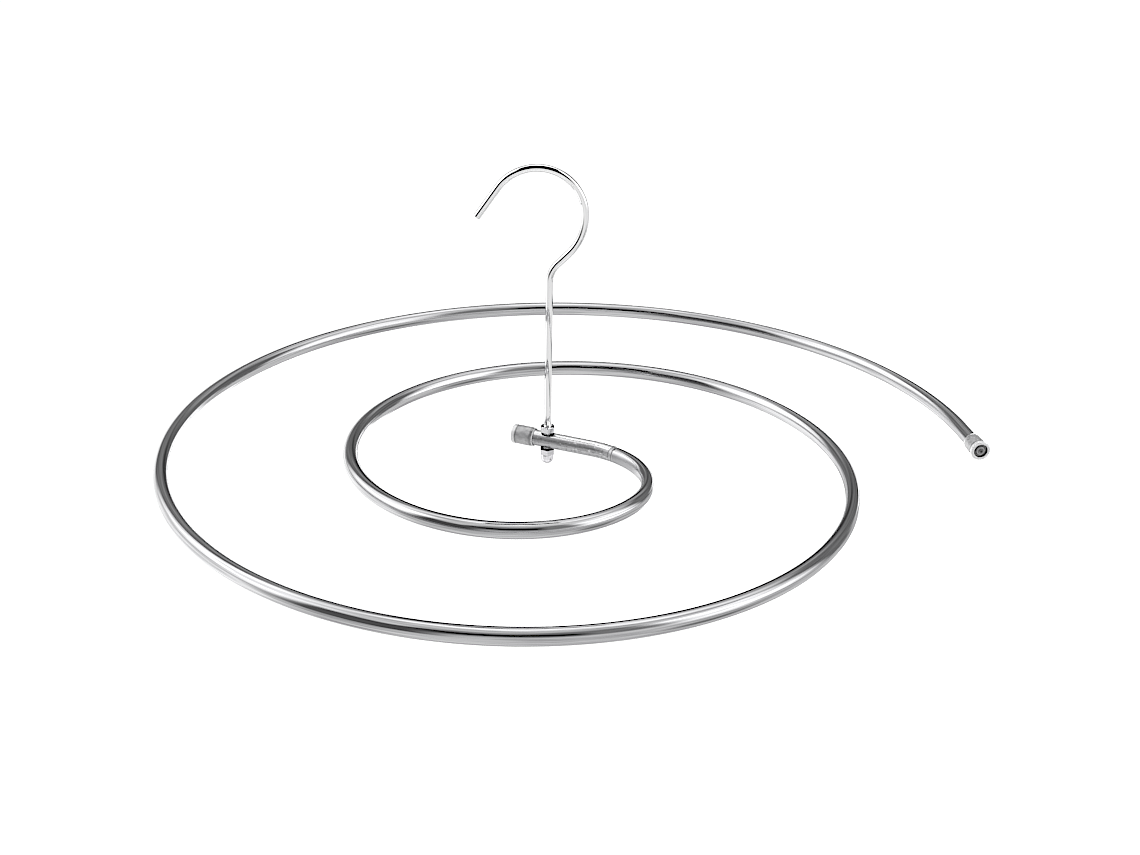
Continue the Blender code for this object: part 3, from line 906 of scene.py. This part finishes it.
def cap_outline():
    """A cap's section from the centre of its end face, over its side and into its bore."""
    boss_top = -CAP_BOSS_DROP
    recess_floor = -CAP_RECESS_DEPTH
    outline = [(0.0, boss_top - CAP_DIMPLE_DEPTH)]
    outline.append((CAP_DIMPLE / 2, boss_top - CAP_DIMPLE_DEPTH * CAP_DIMPLE_SHARE))
    outline += [(CAP_DIMPLE, boss_top - CAP_EDGE), (CAP_DIMPLE + CAP_EDGE, boss_top)]
    outline += [(CAP_BOSS - CAP_EDGE, boss_top), (CAP_BOSS, boss_top - CAP_EDGE)]
    outline += [(CAP_BOSS + CAP_EDGE, CAP_EDGE + recess_floor), (CAP_BOSS + 2 * CAP_EDGE, recess_floor)]
    outline += [(CAP_RECESS - 2 * CAP_EDGE, recess_floor), (CAP_RECESS - CAP_EDGE, CAP_EDGE + recess_floor)]
    outline += [(CAP_RECESS, -CAP_EDGE), (CAP_RECESS + CAP_EDGE, 0.0)]
    for number in range(FILLET_STEPS + 1):
        tilt = math.pi / 2 * number / FILLET_STEPS
        reach = CAP_RADIUS - CAP_FILLET + CAP_FILLET * math.sin(tilt)
        outline.append((reach, CAP_FILLET * (math.cos(tilt) - 1)))
    outline.append((CAP_RADIUS, 2 * CAP_FLARE_LENGTH - CAP_LENGTH))
    outline.append((CAP_RADIUS - CAP_EDGE / 2, CAP_FLARE_LENGTH - CAP_LENGTH))
    outline += [(CAP_LIP, CAP_EDGE - CAP_LENGTH), (CAP_LIP - CAP_EDGE, -CAP_LENGTH)]
    outline += [(CAP_BORE + CAP_EDGE / 2, -CAP_LENGTH), (CAP_BORE, CAP_EDGE - CAP_LENGTH)]
    outline += [(CAP_BORE, -CAP_FLOOR), (0.0, -CAP_FLOOR)]
    return outline


def make_end_cap(node, tube_end, way, material):
    """A cap pushed over a tube's end."""
    name = node + "_skin"
    place = along(tube_end + way * (CAP_FLOOR + FIT_GAP), way)
    piece = add_piece(name, turned_mesh(name, cap_outline()), material, place)
    sharpen(piece, CAP_SHARP)
    finish_piece(piece, "spiral", node)


# Studio


def add_stage_material(name, grey, glow):
    """A matt material with an even white glow."""
    material = bpy.data.materials.new(name)
    material.use_nodes = True
    shader = material.node_tree.nodes["Principled BSDF"]
    shader.inputs["Base Color"].default_value = (grey, grey, grey, 1.0)
    shader.inputs["Roughness"].default_value = 1.0
    shader.inputs["Specular IOR Level"].default_value = 0.0
    shader.inputs["Emission Color"].default_value = (1.0, 1.0, 1.0, 1.0)
    shader.inputs["Emission Strength"].default_value = glow
    return material


def make_stage():
    """A pale floor under the hanger and a pale dome behind it, which the metal doesn't mirror."""
    place = HUB - UP * FLOOR_DROP
    bpy.ops.mesh.primitive_circle_add(
        vertices=FLOOR_SIDES, radius=FLOOR_RADIUS, fill_type="NGON", location=place
    )
    floor = bpy.context.object
    floor.name = "floor"
    floor.data.materials.append(add_stage_material("floor_pale", FLOOR_GREY, FLOOR_GLOW))
    bpy.ops.mesh.primitive_uv_sphere_add(
        segments=BACKDROP_SEGMENTS, ring_count=BACKDROP_RINGS, radius=BACKDROP_RADIUS, location=HUB
    )
    dome = bpy.context.object
    dome.name = "backdrop"
    dome.data.materials.append(add_stage_material("backdrop_pale", 0.0, BACKDROP_GLOW))
    for thing in (floor, dome):
        thing.visible_glossy = False
        thing.visible_diffuse = False
        thing.visible_shadow = False
        thing.visible_transmission = thing is floor


def make_flag():
    """A black card curved over the hook, seen only in the metal, which draws the dark line along the wire."""
    points = [(side * FLAG_HALF_WIDTH, y, z) for y, z in FLAG_OUTLINE for side in (-1, 1)]
    faces = [(2 * row, 2 * row + 1, 2 * row + 3, 2 * row + 2) for row in range(len(FLAG_OUTLINE) - 1)]
    mesh = bpy.data.meshes.new("flag")
    mesh.from_pydata(points, [], faces)
    mesh.shade_smooth()
    flag = add_piece("flag", mesh, add_stage_material("flag_black", FLAG_GREY, 0.0))
    flag.visible_camera = False
    flag.visible_diffuse = False
    flag.visible_shadow = False
    flag.visible_transmission = False


class Sky(Nodes):
    """The studio round the hanger as light from each direction: azimuth zero is away from the front."""

    def __init__(self):
        world = bpy.data.worlds.new("studio")
        bpy.context.scene.world = world
        world.use_nodes = True
        super().__init__(world.node_tree)
        coordinates = self.add("ShaderNodeTexCoord")
        east, north, up = self.parts(coordinates.outputs["Generated"])
        self.azimuth = self.math("ARCTAN2", east, north)
        self.elevation = self.math("ARCSINE", up)
        self.level = self.spread(self.elevation, -SKY_HORIZON, SKY_HORIZON, *SKY_LEVELS)

    def patch(self, azimuth, half_width, lowest, highest, soft, level):
        """Replace the light in a soft-edged patch of directions, its angles in radians."""
        aside = self.math("WRAP", self.math("SUBTRACT", self.azimuth, azimuth), math.pi, -math.pi)
        across = self.fade(self.math("ABSOLUTE", aside), half_width - soft, half_width + soft)
        foot = self.mask(self.elevation, lowest - soft, lowest + soft)
        head = self.fade(self.elevation, highest - soft, highest + soft)
        inside = self.math("MULTIPLY", across, self.math("MULTIPLY", foot, head))
        kept = self.math("MULTIPLY", self.level, self.math("SUBTRACT", 1.0, inside))
        self.level = self.math("ADD", kept, self.math("MULTIPLY", inside, level))

    def finish(self):
        background = self.tree.nodes["Background"]
        background.inputs["Color"].default_value = (1.0, 1.0, 1.0, 1.0)
        self.link(self.level, background.inputs["Strength"])


def make_sky():
    sky = Sky()
    for *angles, level in SKY_PATCHES:
        sky.patch(*map(math.radians, angles), level)
    sky.finish()


def make_softboxes():
    """Soft boxes round the hanger, facing it."""
    for name, (azimuth, elevation, width, height, power) in SOFTBOXES.items():
        azimuth = math.radians(azimuth)
        elevation = math.radians(elevation)
        level = math.cos(elevation)
        way = Vector((math.sin(azimuth) * level, math.cos(azimuth) * level, math.sin(elevation)))
        lamp = bpy.data.lights.new(name, "AREA")
        lamp.shape = "RECTANGLE"
        lamp.size = width
        lamp.size_y = height
        lamp.energy = power
        light = bpy.data.objects.new(name, lamp)
        light.visible_glossy = False
        bpy.context.scene.collection.objects.link(light)
        light.matrix_world = along(HUB + way * SOFTBOX_DISTANCE, way)


def make_camera():
    turn_cos = math.cos(CAMERA_ROLL)
    turn_sin = math.sin(CAMERA_ROLL)
    level_right = Vector((1.0, 0.0, 0.0))
    level_up = Vector((0.0, math.sin(CAMERA_ELEVATION), math.cos(CAMERA_ELEVATION)))
    forward = Vector((0.0, math.cos(CAMERA_ELEVATION), -math.sin(CAMERA_ELEVATION)))
    right = level_right * turn_cos - level_up * turn_sin
    up = level_right * turn_sin + level_up * turn_cos
    across = (HUB_PIXEL[0] - IMAGE_SIZE[0] / 2) / FOCAL_PIXELS
    above = (IMAGE_SIZE[1] / 2 - HUB_PIXEL[1]) / FOCAL_PIXELS
    eye = HUB - (right * across + up * above + forward) * HUB_DEPTH
    camera_data = bpy.data.cameras.new("camera")
    camera_data.sensor_width = SENSOR_WIDTH
    camera_data.sensor_fit = "HORIZONTAL"
    camera_data.lens = FOCAL_PIXELS / IMAGE_SIZE[0] * SENSOR_WIDTH
    camera_data.clip_end = CAMERA_REACH
    camera = bpy.data.objects.new("camera", camera_data)
    bpy.context.scene.collection.objects.link(camera)
    turn = Matrix((right, up, -forward)).transposed().to_4x4()
    camera.matrix_world = Matrix.Translation(eye) @ turn
    bpy.context.scene.camera = camera


def crisp_picture():
    """A little sharpening, as the photograph has, and its plain contrast."""
    scene = bpy.context.scene
    scene.use_nodes = True
    tree = scene.node_tree
    tree.nodes.clear()
    layers = tree.nodes.new("CompositorNodeRLayers")
    crisp = tree.nodes.new("CompositorNodeFilter")
    crisp.filter_type = "SHARPEN"
    crisp.inputs["Fac"].default_value = SHARPENING
    picture = tree.nodes.new("CompositorNodeComposite")
    tree.links.new(layers.outputs["Image"], crisp.inputs["Image"])
    tree.links.new(crisp.outputs["Image"], picture.inputs["Image"])
    scene.view_settings.view_transform = "Standard"


def build():
    route = tube_route()
    make_spiral_tube(route, spiral_steel())
    make_hub_tube(route, hub_steel())
    make_joint_plug(route, plug_steel())
    make_hook_wire(wire_steel())
    make_upper_nut(nut_steel())
    make_cap_nut(cap_nut_steel())
    plastic = cap_plastic()
    make_end_cap("inner_end_cap", *level_place(route.points[0], True), plastic)
    make_end_cap("outer_end_cap", *level_place(route.points[-1]), plastic)
    make_stage()
    make_flag()
    make_sky()
    make_softboxes()
    make_camera()
    crisp_picture()


build()
